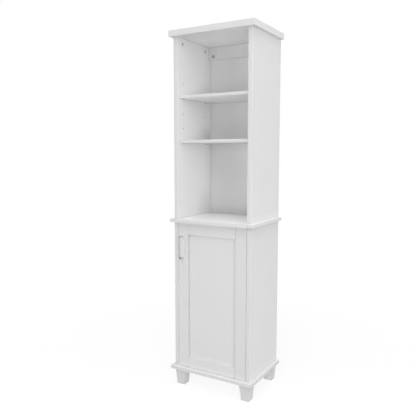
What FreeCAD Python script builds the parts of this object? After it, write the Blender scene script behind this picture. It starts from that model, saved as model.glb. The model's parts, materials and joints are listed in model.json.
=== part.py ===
import FreeCAD, Part
import math
import os
import re

# Linen cabinet: an open bay with two shelves over a cupboard with one framed door, on four
# tapered feet. Millimetres, +Z up, front towards -Y, origin on the floor under the middle
# of the whole cabinet, handle included.

# Driving dimensions
SIZES = {
    # overall boards
    "slab_width": 406,
    "slab_depth": 305,
    "foot_height": 75,
    "base_thickness": 15,
    "lower_height": 660,
    "counter_thickness": 15,
    "upper_height": 785,
    "cap_thickness": 25,
    "slab_ease": 0.4,
    "side_overhang": 15,
    "front_overhang": 17,
    "side_thickness": 18,
    "side_ease": 0.4,
    # backs and hanging rail
    "back_thickness": 3,
    "back_inset": 1.5,
    "back_fit": 0.2,
    "rabbet_width": 8,
    "rail_thickness": 15,
    "rail_height": 57,
    "wall_hole_radius": 3,
    "wall_sink_radius": 5.5,
    "wall_sink_depth": 2.5,
    "wall_hole_spacing": 224,
    # shelves and their pins
    "shelf_thickness": 15,
    "shelf_ease": 0.4,
    "shelf_setback": 18,
    "shelf_side_gap": 1,
    "shelf_back_gap": 2,
    "cabinet_shelf_setback": 38,
    "column_setback": 45,
    "rear_column_setback": 46.5,
    "pin_pitch": 64,
    "pin_first_rise": 333,
    "cabinet_pin_first_rise": 266,
    "pin_radius": 2.5,
    "pin_length": 18,
    "pin_hole_depth": 10,
    "pin_seat_gap": 0.05,
    # board fittings
    "fit_gap": 0.05,
    "end_gap": 0.5,
    "cam_radius": 7.5,
    "cam_depth": 12.5,
    "cam_inset": 24.5,
    "cam_channel_radius": 3.7,
    "cam_channel_past": 4,
    "cam_slot_length": 9,
    "cam_slot_width": 1.4,
    "cam_slot_depth": 2,
    "cam_bore_radius": 4,
    "bolt_radius": 2.9,
    "bolt_thread_length": 11,
    "rail_cam_rise": 14,
    "rail_dowel_drop": 15,
    "dowel_radius": 4,
    "rail_dowel_radius": 3,
    "dowel_depth": 10,
    "dowel_run": 20,
    "dowel_offset": 32,
    "screw_head_radius": 5,
    "screw_head_height": 4,
    "screw_shank_radius": 3.5,
    "screw_run": 36,
    # feet
    "foot_top": 50,
    "foot_bottom": 37,
    "foot_bolt_radius": 4,
    "foot_bolt_run": 30,
    "foot_bolt_rise": 12,
    # door
    "door_thickness": 18,
    "door_side_gap": 2.2,
    "door_end_gap": 1.2,
    "stile_width": 50,
    "rail_width": 50,
    "door_ease": 0.4,
    "quirk_width": 0.6,
    "quirk_depth": 3,
    "panel_recess": 12.5,
    "panel_thickness": 3,
    "groove_depth": 8,
    "panel_play": 1,
    # pivots
    "pivot_inset": 22,
    "pivot_radius": 3,
    "pivot_door_run": 16,
    "pivot_board_run": 8,
    "pivot_clearance": 0.05,
    "bush_radius": 5,
    "bush_depth": 9,
    "bush_flange_radius": 8,
    "bush_flange_height": 0.8,
    # handle
    "handle_reach": 34,
    "handle_diameter": 6,
    "handle_bend": 9,
    "handle_centres": 96,
    "handle_drop": 60,
    "handle_screw_radius": 1.5,
    "handle_screw_run": 10,
    "handle_screw_head_radius": 3.4,
    "handle_screw_head_height": 2,
    # magnetic catch
    "catch_length": 44,
    "catch_depth": 16,
    "catch_height": 13,
    "catch_offset": 30,
    "magnet_length": 22,
    "magnet_height": 7,
    "magnet_depth": 10,
    "magnet_proud": 0.6,
    "catch_gap": 0.3,
    "catch_screw_radius": 1.6,
    "catch_screw_head_radius": 3.2,
    "catch_screw_head_height": 2,
    "catch_screw_run": 10,
    "catch_screw_spacing": 33,
    "strike_length": 36,
    "strike_height": 13,
    "strike_thickness": 1.2,
    # one overrun for every cut
    "overrun": 1,
}

# Places and sizes that follow from the driving dimensions
PLACES = {
    "slab_front": "(handle_reach - front_overhang - slab_depth) / 2",
    "back_face": "slab_front + slab_depth",
    "body_front": "slab_front + front_overhang",
    "body_depth": "slab_depth - front_overhang",
    "body_half": "slab_width / 2 - side_overhang",
    "inner_half": "body_half - side_thickness",
    "side_middle": "body_half - side_thickness / 2",
    "back_front": "back_face - back_inset - back_thickness",
    "rail_front": "back_front - rail_thickness",
    "rail_middle": "back_front - rail_thickness / 2",
    "base_top": "foot_height + base_thickness",
    "counter_bottom": "base_top + lower_height",
    "counter_top": "counter_bottom + counter_thickness",
    "cap_bottom": "counter_top + upper_height",
    "rail_bottom": "cap_bottom - rail_height",
    "rail_cam_z": "rail_bottom + rail_cam_rise",
    "rail_dowel_z": "cap_bottom - rail_dowel_drop",
    "front_column": "body_front + column_setback",
    "rear_column": "back_front - rear_column_setback",
    "front_dowel": "front_column + dowel_offset",
    "rear_dowel": "rear_column - dowel_offset",
    "front_counter_cam": "(2 * front_column + rear_column) / 3",
    "rear_counter_cam": "(front_column + 2 * rear_column) / 3",
    "pin_base": "counter_top + pin_first_rise",
    "cabinet_pin_base": "base_top + cabinet_pin_first_rise",
    "pin_out": "pin_length - pin_hole_depth + end_gap",
    "door_half": "inner_half - door_side_gap",
    "door_bottom": "base_top + door_end_gap",
    "door_top": "counter_bottom - door_end_gap",
    "door_back": "body_front + door_thickness",
    "stile_inside": "door_half - stile_width",
    "groove_front": "body_front + panel_recess",
    "pivot_x": "door_half - pivot_inset",
    "pivot_y": "body_front + door_thickness / 2",
    "handle_x": "stile_width / 2 - door_half",
    "handle_top_z": "door_top - handle_drop",
    "handle_low_z": "handle_top_z - handle_centres",
    "catch_x": "catch_offset - inner_half",
    "strike_back": "door_back + strike_thickness",
    "catch_front": "strike_back + catch_gap + magnet_proud",
    "catch_bottom": "counter_bottom - catch_height",
    "catch_middle_z": "counter_bottom - catch_height / 2",
}

AXES = {
    "+x": FreeCAD.Vector(1, 0, 0),
    "-x": FreeCAD.Vector(-1, 0, 0),
    "+y": FreeCAD.Vector(0, 1, 0),
    "-y": FreeCAD.Vector(0, -1, 0),
    "+z": FreeCAD.Vector(0, 0, 1),
    "-z": FreeCAD.Vector(0, 0, -1),
}
SIDES = {"left": "-", "right": ""}
COLUMNS = ("front_column", "rear_column")
DOWEL_ROWS = ("front_dowel", "rear_dowel")
COUNTER_CAMS = ("front_counter_cam", "rear_counter_cam")
PIN_ROWS = 5
CABINET_PIN_ROWS = 3
RIGHT_ANGLE = 90

doc = FreeCAD.newDocument("LinenCabinet")
sheet = doc.addObject("Spreadsheet::Sheet", "Sizes")
for row, (alias, number) in enumerate(SIZES.items(), 1):
    sheet.set(f"A{row}", alias)
    sheet.set(f"B{row}", str(number))
    sheet.setAlias(f"B{row}", alias)
doc.recompute()

nodes = {}


def formula(text):
    """Write a sum of named sizes and places as an expression on the sheet."""
    def spell(match):
        word = match.group(0)
        if word in PLACES:
            return "(" + formula(PLACES[word]) + ")"
        return "Sizes." + word
    return re.sub(r"[a-z][a-z_]*", spell, text)


def bind(item, **sizes):
    for name, text in sizes.items():
        item.setExpression(name, formula(text))


def place(item, x, y, z, direction="+z", own="+z"):
    """Put an item at a named point, with its own axis along a direction."""
    item.Placement = FreeCAD.Placement(FreeCAD.Vector(), FreeCAD.Rotation(AXES[own], AXES[direction]))
    for axis, text in zip("xyz", (x, y, z)):
        item.setExpression(f"Placement.Base.{axis}", formula(text))


def node(name, item):
    """Register an item as the named sub-part."""
    item.Label = name
    nodes[name] = item
    return item


def block(low, size):
    """Rectangular block from its lowest corner and its length, width and height."""
    item = doc.addObject("Part::Box", "Block")
    bind(item, Length=size[0], Width=size[1], Height=size[2])
    place(item, *low)
    return item


def rod(at, radius, length, direction):
    item = doc.addObject("Part::Cylinder", "Rod")
    bind(item, Radius=radius, Height=length)
    place(item, *at, direction)
    return item


def sink(at, mouth, end, depth, direction):
    """Tapered tool for a countersink, from its mouth down to its end."""
    item = doc.addObject("Part::Cone", "Sink")
    bind(item, Radius1=mouth, Radius2=end, Height=depth)
    place(item, *at, direction)
    return item


def joined(*items):
    if len(items) == 1:
        return items[0]
    item = doc.addObject("Part::MultiFuse", "Joined")
    item.Shapes = list(items)
    return item


def group(items):
    item = doc.addObject("Part::Compound", "Group")
    item.Links = list(items)
    return item


def without(base, tools):
    """Cut a list of tools out of a base."""
    item = doc.addObject("Part::Cut", "Cut")
    item.Base = base
    item.Tool = joined(*tools)
    return item


def eased(base, ease, front_only=False):
    """Ease all the edges of a block, or those of its front face, by a named size."""
    doc.recompute()
    size = sheet.get(ease)
    front = min(vertex.Y for vertex in base.Shape.Vertexes)
    item = doc.addObject("Part::Chamfer", "Eased")
    item.Base = base
    edges = []
    for number, edge in enumerate(base.Shape.Edges, 1):
        in_front = all(math.isclose(vertex.Y, front) for vertex in edge.Vertexes)
        if in_front or not front_only:
            edges.append((number, size, size))
    item.Edges = edges
    return item


def pin_heights(base, rows):
    """Heights of the pin holes of one side, from the lowest row up."""
    return [f"{base} + {row} * pin_pitch" for row in range(rows)]


def mirrored(side, text):
    """Signed x formula for one side of the cabinet."""
    return f"{SIDES[side]}({text})"


def inward(side):
    return {"left": "+x", "right": "-x"}[side]


def outward(side):
    return {"left": "-x", "right": "+x"}[side]


# Fittings

def cam(at, direction, bolt_depth, bolt_direction):
    """Cam lock in a board face: its mouth faces away from direction, its bolt comes along one way."""
    body = rod(at, "cam_radius", "cam_depth", direction)
    start = shifted(at, direction, bolt_depth)
    start = shifted(start, opposite(bolt_direction), "cam_channel_past")
    channel = rod(start, "cam_channel_radius", "cam_channel_past + cam_radius + overrun", bolt_direction)
    slots = [cam_slot(at, direction, turned) for turned in (False, True)]
    return without(body, [channel] + slots)


def cam_slot(at, direction, turned):
    """One arm of the cross recess in a cam's mouth."""
    size = {axis: "cam_slot_width" for axis in "xyz"}
    across = [axis for axis in "xyz" if axis != direction[1]]
    size[across[turned]] = "cam_slot_length"
    size[direction[1]] = "2 * cam_slot_depth"
    low = [f"({text}) - ({size[axis]}) / 2" for axis, text in zip("xyz", at)]
    return block(low, [size[axis] for axis in "xyz"])


def opposite(direction):
    return {"+": "-", "-": "+"}[direction[0]] + direction[1]


def shifted(at, direction, distance):
    """Point moved along a direction by a formula."""
    moved = list(at)
    index = "xyz".index(direction[1])
    moved[index] = f"({at[index]}) {direction[0]} ({distance})"
    return tuple(moved)


def cam_bolt(at, direction):
    """Bolt screwed into a board at a point of its face, whose end is held in a cam."""
    start = shifted(at, opposite(direction), "bolt_thread_length")
    return rod(start, "bolt_radius", "bolt_thread_length + cam_inset", direction)


def bolt_hole(at, direction):
    start = shifted(at, opposite(direction), "overrun")
    return rod(start, "bolt_radius + fit_gap", "bolt_thread_length + end_gap + overrun", direction)


def cam_holes(face, direction, edge, bolt_direction):
    """Pocket for a cam in a board face and the bore for its bolt from the board's edge."""
    pocket = rod(shifted(face, opposite(direction), "overrun"), "cam_radius + fit_gap",
                 "cam_depth + fit_gap + overrun", direction)
    bore = rod(shifted(edge, opposite(bolt_direction), "overrun"), "cam_bore_radius", "cam_inset + overrun",
               bolt_direction)
    return [pocket, bore]


def dowel_hole(at, radius, depth, direction):
    start = shifted(at, opposite(direction), "overrun")
    return rod(start, f"{radius} + fit_gap", f"{depth} + end_gap + overrun", direction)


def long_screw(at, direction, through):
    """Furniture screw whose head is sunk in the far face of a board and whose shank runs on."""
    head = rod(at, "screw_head_radius", "screw_head_height", direction)
    shank = rod(at, "screw_shank_radius", f"{through} + screw_run", direction)
    return joined(head, shank)


def screw_holes(at, direction, through):
    start = shifted(at, opposite(direction), "overrun")
    head = rod(start, "screw_head_radius + fit_gap", "screw_head_height + fit_gap + overrun", direction)
    shank = rod(start, "screw_shank_radius + fit_gap", f"{through} + 2 * overrun", direction)
    return [head, shank]


# Boards

def slab(name, bottom, thickness, holes):
    blank = block(("-slab_width / 2", "slab_front", bottom), ("slab_width", "slab_depth", thickness))
    return node(name, without(eased(blank, "slab_ease"), holes))


def side_panel(name, side, bottom, height, holes):
    """Side panel with its front edges eased and a rabbet for the back."""
    low = {"left": "-body_half", "right": "inner_half"}[side]
    blank = block((low, "body_front", bottom), ("side_thickness", "body_depth", height))
    rabbet_low = {"left": "-inner_half - rabbet_width", "right": "inner_half - overrun"}[side]
    rabbet = block((rabbet_low, "back_front", f"{bottom} - overrun"),
                   ("rabbet_width + overrun", "back_thickness + back_inset + overrun",
                    f"{height} + 2 * overrun"))
    return node(name, without(eased(blank, "side_ease", front_only=True), [rabbet] + holes))


def back_panel(bottom, height):
    """Thin back set into the rabbets of the side panels."""
    half = "inner_half + rabbet_width - back_fit"
    low = (f"-({half})", "back_front", f"{bottom} + back_fit")
    return block(low, (f"2 * ({half})", "back_thickness", f"{height} - 2 * back_fit"))


def shelf(name, setback, pin_height):
    """Loose shelf that rests on its four pins."""
    half = "inner_half - shelf_side_gap"
    depth = f"back_front - shelf_back_gap - body_front - {setback}"
    low = (f"-({half})", f"body_front + {setback}", f"{pin_height} + pin_radius + pin_seat_gap")
    return node(name, eased(block(low, (f"2 * ({half})", depth, "shelf_thickness")), "shelf_ease"))


def shelf_pins(name, pin_height):
    """Four pins that carry one shelf, standing out of their holes in the side panels."""
    pins = []
    for side in SIDES:
        for column in COLUMNS:
            at = (mirrored(side, "inner_half - pin_out"), column, pin_height)
            pins.append(rod(at, "pin_radius", "pin_length", outward(side)))
    return node(name, group(pins))


def pin_holes(side, heights):
    holes = []
    for z in heights:
        for column in COLUMNS:
            at = (mirrored(side, "inner_half - overrun"), column, z)
            holes.append(rod(at, "pin_radius + fit_gap", "pin_hole_depth + overrun", outward(side)))
    return holes


def foot_centre(row, side):
    y = {"front": "body_front + foot_top / 2", "rear": "back_face - foot_top / 2"}[row]
    return mirrored(side, "body_half - foot_top / 2"), y


FEET = [(row, side) for row in ("front", "rear") for side in SIDES]

# Top cap with the bolts of the side panels' cams and the dowels
cap_holes = []
cap_cams = []
cap_bolts = []
cap_dowels = []
for side in SIDES:
    middle = mirrored(side, "side_middle")
    for column in COLUMNS:
        top = (middle, column, "cap_bottom")
        cap_holes.append(bolt_hole(top, "+z"))
        cap_bolts.append(cam_bolt(top, "-z"))
        face = (mirrored(side, "inner_half"), column, "cap_bottom - cam_inset")
        cap_cams.append(cam(face, outward(side), "side_thickness / 2", "+z"))
    for row in DOWEL_ROWS:
        cap_holes.append(dowel_hole((middle, row, "cap_bottom"), "dowel_radius", "dowel_depth", "+z"))
        at = (middle, row, "cap_bottom - dowel_run")
        cap_dowels.append(rod(at, "dowel_radius", "dowel_run + dowel_depth", "+z"))
slab("top_cap", "cap_bottom", "cap_thickness", cap_holes)
node("cap_cams", group(cap_cams))
node("cap_cam_bolts", group(cap_bolts))
node("cap_dowels", group(cap_dowels))

# Counter board between the open bay and the cupboard
counter_holes = []
counter_screws = []
counter_cams = []
counter_bolts = []
for side in SIDES:
    middle = mirrored(side, "side_middle")
    for column in COLUMNS:
        under = (middle, column, "counter_bottom")
        counter_holes += screw_holes(under, "+z", "counter_thickness")
        counter_screws.append(long_screw(under, "+z", "counter_thickness"))
    for row in COUNTER_CAMS:
        under = (middle, row, "counter_bottom")
        counter_holes.append(bolt_hole(under, "+z"))
        counter_bolts.append(cam_bolt(under, "-z"))
        face = (mirrored(side, "inner_half"), row, "counter_bottom - cam_inset")
        counter_cams.append(cam(face, outward(side), "side_thickness / 2", "+z"))
counter_holes.append(rod(("pivot_x", "pivot_y", "counter_bottom - overrun"), "bush_radius + fit_gap",
                         "bush_depth + end_gap + overrun", "+z"))
CATCH_SCREW_X = [f"catch_x {sign} catch_screw_spacing / 2" for sign in "-+"]
CATCH_SCREW_Y = "catch_front + catch_depth / 2"
for x in CATCH_SCREW_X:
    counter_holes.append(rod((x, CATCH_SCREW_Y, "counter_bottom - overrun"), "catch_screw_radius + fit_gap",
                             "catch_screw_run + end_gap + overrun", "+z"))
slab("counter_board", "counter_bottom", "counter_thickness", counter_holes)
node("counter_screws", group(counter_screws))
node("counter_cams", group(counter_cams))
node("counter_cam_bolts", group(counter_bolts))

# Base board with its screws and the bolts of the feet
base_holes = []
base_screws = []
foot_bolts = []
for side in SIDES:
    middle = mirrored(side, "side_middle")
    for column in COLUMNS:
        under = (middle, column, "foot_height")
        base_holes += screw_holes(under, "+z", "base_thickness")
        base_screws.append(long_screw(under, "+z", "base_thickness"))
for row, side in FEET:
    x, y = foot_centre(row, side)
    base_holes.append(dowel_hole((x, y, "foot_height"), "foot_bolt_radius", "foot_bolt_rise", "+z"))
    foot_bolts.append(rod((x, y, "foot_height - foot_bolt_run"), "foot_bolt_radius",
                          "foot_bolt_run + foot_bolt_rise", "+z"))
base_holes.append(rod(("pivot_x", "pivot_y", "base_top + overrun"), "bush_radius + fit_gap",
                      "bush_depth + end_gap + overrun", "-z"))
slab("base_board", "foot_height", "base_thickness", base_holes)
node("base_screws", group(base_screws))
node("foot_bolts", group(foot_bolts))

# Side panels
UPPER_PINS = pin_heights("pin_base", PIN_ROWS)
CABINET_PINS = pin_heights("cabinet_pin_base", CABINET_PIN_ROWS)
for side in SIDES:
    middle = mirrored(side, "side_middle")
    face = mirrored(side, "inner_half")
    holes = pin_holes(side, UPPER_PINS)
    for column in COLUMNS:
        pocket = (face, column, "cap_bottom - cam_inset")
        holes += cam_holes(pocket, outward(side), (middle, column, "cap_bottom"), "-z")
        holes.append(dowel_hole((middle, column, "counter_top"), "screw_shank_radius", "screw_run", "+z"))
    for row in DOWEL_ROWS:
        holes.append(dowel_hole((middle, row, "cap_bottom"), "dowel_radius", "dowel_run", "-z"))
    holes.append(bolt_hole((face, "rail_middle", "rail_cam_z"), outward(side)))
    rail_dowel = (face, "rail_middle", "rail_dowel_z")
    holes.append(dowel_hole(rail_dowel, "rail_dowel_radius", "dowel_depth", outward(side)))
    side_panel(f"upper_{side}_side", side, "counter_top", "upper_height", holes)

    holes = pin_holes(side, CABINET_PINS)
    for row in COUNTER_CAMS:
        pocket = (face, row, "counter_bottom - cam_inset")
        holes += cam_holes(pocket, outward(side), (middle, row, "counter_bottom"), "-z")
    for column in COLUMNS:
        holes.append(dowel_hole((middle, column, "base_top"), "screw_shank_radius", "screw_run", "+z"))
    side_panel(f"lower_{side}_side", side, "base_top", "lower_height", holes)

# Hanging rail, its fittings and its wall-fixing holes
rail_holes = []
rail_cams = []
rail_bolts = []
rail_dowels = []
wall_holes = []
for side in SIDES:
    end = mirrored(side, "inner_half")
    face = (mirrored(side, "inner_half - cam_inset"), "rail_front", "rail_cam_z")
    at = (end, "rail_middle", "rail_cam_z")
    rail_holes += cam_holes(face, "+y", at, inward(side))
    rail_cams.append(cam(face, "+y", "rail_thickness / 2", outward(side)))
    rail_bolts.append(cam_bolt(at, inward(side)))
    at = (end, "rail_middle", "rail_dowel_z")
    rail_holes.append(dowel_hole(at, "rail_dowel_radius", "dowel_run", inward(side)))
    start = (mirrored(side, "inner_half + dowel_depth"), "rail_middle", "rail_dowel_z")
    rail_dowels.append(rod(start, "rail_dowel_radius", "dowel_depth + dowel_run", inward(side)))
    at = (mirrored(side, "wall_hole_spacing / 2"), "rail_front", "cap_bottom - rail_height / 2")
    rail_holes.append(sink(at, "wall_sink_radius", "wall_hole_radius", "wall_sink_depth", "+y"))
    start = shifted(at, "-y", "overrun")
    wall_holes.append(rod(start, "wall_hole_radius", "rail_thickness + back_thickness + 2 * overrun", "+y"))
rail = block(("-inner_half", "rail_front", "rail_bottom"),
             ("2 * inner_half", "rail_thickness", "rail_height"))
node("hanging_rail", without(rail, rail_holes + wall_holes))
node("rail_cams", group(rail_cams))
node("rail_cam_bolts", group(rail_bolts))
node("rail_dowels", group(rail_dowels))

# Backs, set into the rabbets of the side panels
node("upper_back_panel", without(back_panel("counter_top", "upper_height"), wall_holes))
node("lower_back_panel", back_panel("base_top", "lower_height"))

# Shelves on their pins: the lowest row, the last but one, and the cupboard's middle row
SHELVES = {
    "middle_shelf": ("shelf_setback", UPPER_PINS[0]),
    "upper_shelf": ("shelf_setback", UPPER_PINS[-2]),
    "cabinet_shelf": ("cabinet_shelf_setback", CABINET_PINS[1]),
}
for name, (setback, height) in SHELVES.items():
    shelf(name, setback, height)
    shelf_pins(f"{name}_pins", height)


# Feet, tapered from a wide square under the base to a narrow one on the floor

def foot(row, side):
    x, y = foot_centre(row, side)
    taper = doc.addObject("Part::Wedge", "Taper")
    bind(taper, Xmin="-foot_bottom / 2", Xmax="foot_bottom / 2")
    bind(taper, Zmin="-foot_bottom / 2", Zmax="foot_bottom / 2")
    bind(taper, X2min="-foot_top / 2", X2max="foot_top / 2")
    bind(taper, Z2min="-foot_top / 2", Z2max="foot_top / 2")
    bind(taper, Ymax="foot_height")
    taper.Ymin = 0
    place(taper, x, y, "0", "+z", "+y")
    hole = dowel_hole((x, y, "foot_height"), "foot_bolt_radius", "foot_bolt_run", "-z")
    return node(f"{row}_{side}_foot", without(taper, [hole]))


for row, side in FEET:
    foot(row, side)

# Door frame: stiles run the full height, rails are tongued into their grooves
door_height = "door_top - door_bottom"


def stile(left_edge, holes):
    blank = block((left_edge, "body_front", "door_bottom"), ("stile_width", "door_thickness", door_height))
    return without(eased(blank, "door_ease", front_only=True), holes)


def stile_groove(low):
    return block((low, "groove_front", "door_bottom - overrun"),
                 ("groove_depth + overrun", "panel_thickness", f"{door_height} + 2 * overrun"))


HANDLE_Z = ("handle_top_z", "handle_low_z")
left_holes = [stile_groove("-stile_inside - groove_depth")]
for z in HANDLE_Z:
    left_holes.append(rod(("handle_x", "body_front - overrun", z), "handle_screw_radius + fit_gap",
                          "door_thickness + 2 * overrun", "+y"))
left_holes.append(rod(("catch_x", "door_back + overrun", "catch_middle_z"), "catch_screw_radius + fit_gap",
                      "catch_screw_run + end_gap + overrun", "-y"))
node("door_left_stile", stile("-door_half", left_holes))

right_holes = [stile_groove("stile_inside - overrun")]
for z, direction in (("door_top", "-z"), ("door_bottom", "+z")):
    right_holes.append(dowel_hole(("pivot_x", "pivot_y", z), "pivot_radius", "pivot_door_run", direction))
node("door_right_stile", stile("stile_inside", right_holes))


PANEL_HALF = "stile_inside + groove_depth - panel_play"


def door_rail(name, bottom, groove_bottom):
    """Rail with a tongue and a fine quirk at each end and a groove for the panel."""
    blank = block(("-stile_inside", "body_front", bottom),
                  ("2 * stile_inside", "door_thickness", "rail_width"))
    tongue = block((f"-({PANEL_HALF})", "groove_front", bottom),
                   (f"2 * ({PANEL_HALF})", "panel_thickness", "rail_width"))
    groove = block((f"-({PANEL_HALF}) - overrun", "groove_front", groove_bottom),
                   (f"2 * ({PANEL_HALF} + overrun)", "panel_thickness", "groove_depth + overrun"))
    quirks = [block((x, "body_front - overrun", f"{bottom} - overrun"),
                    ("quirk_width + overrun", "quirk_depth + overrun", "rail_width + 2 * overrun"))
              for x in ("-stile_inside - overrun", "stile_inside - quirk_width")]
    rail = joined(eased(blank, "door_ease", front_only=True), tongue)
    return node(name, without(rail, [groove] + quirks))


door_rail("door_top_rail", "door_top - rail_width", "door_top - rail_width - overrun")
door_rail("door_bottom_rail", "door_bottom", "door_bottom + rail_width - groove_depth")
panel_bottom = "door_bottom + rail_width - groove_depth + panel_play"
panel_height = f"{door_height} - 2 * (rail_width - groove_depth + panel_play)"
node("door_panel", block((f"-({PANEL_HALF})", "groove_front", panel_bottom),
                         (f"2 * ({PANEL_HALF})", "panel_thickness", panel_height)))


# Door pull: one round bar bent into a D, with tapped legs

def bend(at, start, end):
    """Quarter bend of the bar round a centre, from one direction to another."""
    item = doc.addObject("Part::Torus", "Bend")
    bind(item, Radius1="handle_bend", Radius2="handle_diameter / 2")
    item.Angle3 = RIGHT_ANGLE
    place(item, *at)
    axes = (AXES[start], AXES[end], AXES[start].cross(AXES[end]))
    item.Placement.Rotation = FreeCAD.Rotation(*axes, "XYZ")
    return item


def handle():
    leg = "handle_reach - handle_diameter / 2 - handle_bend"
    bar = rod(("handle_x", f"body_front - ({leg}) - handle_bend", "handle_low_z + handle_bend"),
              "handle_diameter / 2", "handle_centres - 2 * handle_bend", "+z")
    legs = [rod(("handle_x", "body_front", z), "handle_diameter / 2", leg, "-y") for z in HANDLE_Z]
    upper_bend = bend(("handle_x", f"body_front - ({leg})", "handle_top_z - handle_bend"), "+z", "-y")
    lower_bend = bend(("handle_x", f"body_front - ({leg})", "handle_low_z + handle_bend"), "-y", "-z")
    holes = [dowel_hole(("handle_x", "body_front", z), "handle_screw_radius", "handle_screw_run", "-y")
             for z in HANDLE_Z]
    return node("door_handle", without(joined(bar, upper_bend, lower_bend, *legs), holes))


handle()
handle_screws = []
for z in HANDLE_Z:
    at = ("handle_x", "door_back", z)
    shank = rod(at, "handle_screw_radius", "door_thickness + handle_screw_run", "-y")
    head = rod(at, "handle_screw_head_radius", "handle_screw_head_height", "+y")
    handle_screws.append(joined(shank, head))
node("handle_screws", group(handle_screws))


# Concealed pivots: pins in the door's ends turn in flanged bushes in the boards

def bush(face, direction):
    """Flanged bush sunk into a board, with the flange on the door's side of the board's face."""
    sleeve = rod(face, "bush_radius", "bush_depth", direction)
    flange = rod(face, "bush_flange_radius", "bush_flange_height", opposite(direction))
    start = shifted(face, opposite(direction), "bush_flange_height + overrun")
    bore = rod(start, "pivot_radius + pivot_clearance",
               "bush_flange_height + bush_depth + 2 * overrun", direction)
    return without(joined(sleeve, flange), [bore])


upper_pivot = ("pivot_x", "pivot_y", "counter_bottom")
lower_pivot = ("pivot_x", "pivot_y", "base_top")
node("pivot_bushes", group([bush(upper_pivot, "+z"), bush(lower_pivot, "-z")]))
pivot_length = "pivot_door_run + door_end_gap + pivot_board_run"
pivot_sunk = "door_end_gap + pivot_door_run"
upper_pin = rod(shifted(upper_pivot, "-z", pivot_sunk), "pivot_radius", pivot_length, "+z")
lower_pin = rod(shifted(lower_pivot, "+z", pivot_sunk), "pivot_radius", pivot_length, "-z")
node("pivot_pins", group([upper_pin, lower_pin]))

# Magnetic catch under the counter, and its strike plate on the door
housing = block(("catch_x - catch_length / 2", "catch_front", "catch_bottom"),
                ("catch_length", "catch_depth", "catch_height"))
socket = block(("catch_x - magnet_length / 2 - fit_gap", "catch_front - overrun",
                "catch_middle_z - magnet_height / 2 - fit_gap"),
               ("magnet_length + 2 * fit_gap", "magnet_depth + fit_gap + overrun",
                "magnet_height + 2 * fit_gap"))
housing_holes = [socket]
catch_screws = []
for x in CATCH_SCREW_X:
    start = (x, CATCH_SCREW_Y, "catch_bottom - overrun")
    housing_holes.append(rod(start, "catch_screw_radius + fit_gap", "catch_height + 2 * overrun", "+z"))
    under = (x, CATCH_SCREW_Y, "catch_bottom")
    shank = rod(under, "catch_screw_radius", "catch_height + catch_screw_run", "+z")
    head = rod(under, "catch_screw_head_radius", "catch_screw_head_height", "-z")
    catch_screws.append(joined(shank, head))
node("catch_housing", without(housing, housing_holes))
node("catch_screws", group(catch_screws))
node("catch_magnet", block(("catch_x - magnet_length / 2", "catch_front - magnet_proud",
                            "catch_middle_z - magnet_height / 2"),
                           ("magnet_length", "magnet_depth + magnet_proud", "magnet_height")))
strike = block(("catch_x - strike_length / 2", "door_back", "catch_middle_z - strike_height / 2"),
               ("strike_length", "strike_thickness", "strike_height"))
strike_hole = rod(("catch_x", "door_back - overrun", "catch_middle_z"), "catch_screw_radius + fit_gap",
                  "strike_thickness + 2 * overrun", "+y")
node("strike_plate", without(strike, [strike_hole]))
node("strike_screw", rod(("catch_x", "strike_back", "catch_middle_z"), "catch_screw_radius",
                         "strike_thickness + catch_screw_run", "-y"))

# Check the whole document before anything is written
doc.recompute()
for item in doc.Objects:
    if {"Invalid", "Error"} & set(item.State):
        raise RuntimeError(f"{item.Label} failed: {item.State}")
for name, item in nodes.items():
    if item.Shape.isNull() or not item.Shape.isValid():
        raise RuntimeError(f"{name} has no valid shape")

os.makedirs("parts", exist_ok=True)
for name, item in nodes.items():
    item.Shape.exportStep(f"parts/{name}.step")
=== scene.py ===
import json
import math

import bmesh
import bpy
from mathutils import Matrix, Vector


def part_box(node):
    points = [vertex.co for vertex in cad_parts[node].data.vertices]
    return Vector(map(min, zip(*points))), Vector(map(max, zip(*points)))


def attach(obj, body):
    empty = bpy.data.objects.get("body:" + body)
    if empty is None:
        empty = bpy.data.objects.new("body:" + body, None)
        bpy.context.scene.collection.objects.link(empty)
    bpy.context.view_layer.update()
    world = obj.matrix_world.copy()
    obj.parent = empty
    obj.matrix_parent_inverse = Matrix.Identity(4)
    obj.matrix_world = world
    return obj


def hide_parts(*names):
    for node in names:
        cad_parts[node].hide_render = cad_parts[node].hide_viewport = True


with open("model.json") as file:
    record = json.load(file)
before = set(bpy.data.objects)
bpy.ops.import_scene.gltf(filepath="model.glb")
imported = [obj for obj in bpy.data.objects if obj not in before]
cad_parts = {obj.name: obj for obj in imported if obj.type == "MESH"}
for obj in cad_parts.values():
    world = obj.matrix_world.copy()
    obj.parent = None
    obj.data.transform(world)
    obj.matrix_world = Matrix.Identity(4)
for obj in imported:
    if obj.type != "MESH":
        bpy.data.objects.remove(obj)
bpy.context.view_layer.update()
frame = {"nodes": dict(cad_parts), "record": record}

MM = 0.001
NODES = frame["nodes"]


# Small tools for node trees

def feed(tree, socket, value):
    """Give a socket a plain value, or link it to the output that feeds it."""
    if isinstance(value, bpy.types.NodeSocket):
        tree.links.new(value, socket)
    else:
        socket.default_value = value


def add(tree, kind, inputs=None, **settings):
    """Add a shader node; each input is a plain value or the output that feeds it."""
    node = tree.nodes.new("ShaderNode" + kind)
    for name, value in settings.items():
        setattr(node, name, value)
    for name, value in (inputs or {}).items():
        feed(tree, node.inputs[name], value)
    return node


def math_node(tree, operation, first, second=0.0, third=0.0, clamp=False):
    inputs = {0: first, 1: second, 2: third}
    return add(tree, "Math", inputs, operation=operation, use_clamp=clamp).outputs[0]


def times(tree, *factors):
    """Product of masks and values."""
    product = factors[0]
    for factor in factors[1:]:
        product = math_node(tree, "MULTIPLY", product, factor)
    return product


def either(tree, first, second):
    """The larger of two masks."""
    return math_node(tree, "MAXIMUM", first, second)


def rest_of(tree, mask):
    return math_node(tree, "SUBTRACT", 1.0, mask)


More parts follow.
